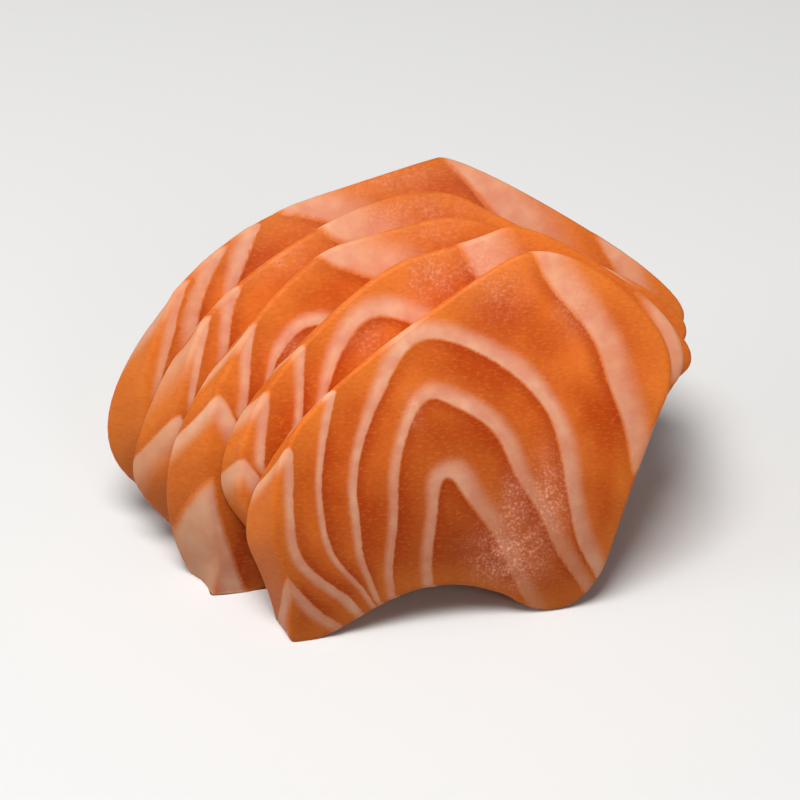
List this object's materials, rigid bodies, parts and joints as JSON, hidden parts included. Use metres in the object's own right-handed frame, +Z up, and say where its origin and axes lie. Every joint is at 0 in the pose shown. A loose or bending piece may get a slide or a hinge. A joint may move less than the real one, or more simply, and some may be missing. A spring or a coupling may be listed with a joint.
{
  "type": "salmon sashimi",
  "caption": "Raw salmon sashimi: thin slices with pale marbled arches, fanned and leaning back on each other, ready to lay on a plate or board.",
  "frame": {"origin": "centre of the footprint box, on the surface that the slices stand on", "axes": "+Z up, +X to the right along the front slice's face, +Y back, away from the side that the front slice shows"},
  "size_m": [0.0834, 0.0598, 0.0455],
  "materials": {
    "salmon_flesh": "moist raw salmon, orange flesh with pale pink-beige fat lines"
  },
  "bodies": {
    "root": {"slice_1": "salmon_flesh", "slice_2": "salmon_flesh", "slice_3": "salmon_flesh", "slice_4": "salmon_flesh", "slice_5": "salmon_flesh"}
  },
  "joints": []
}
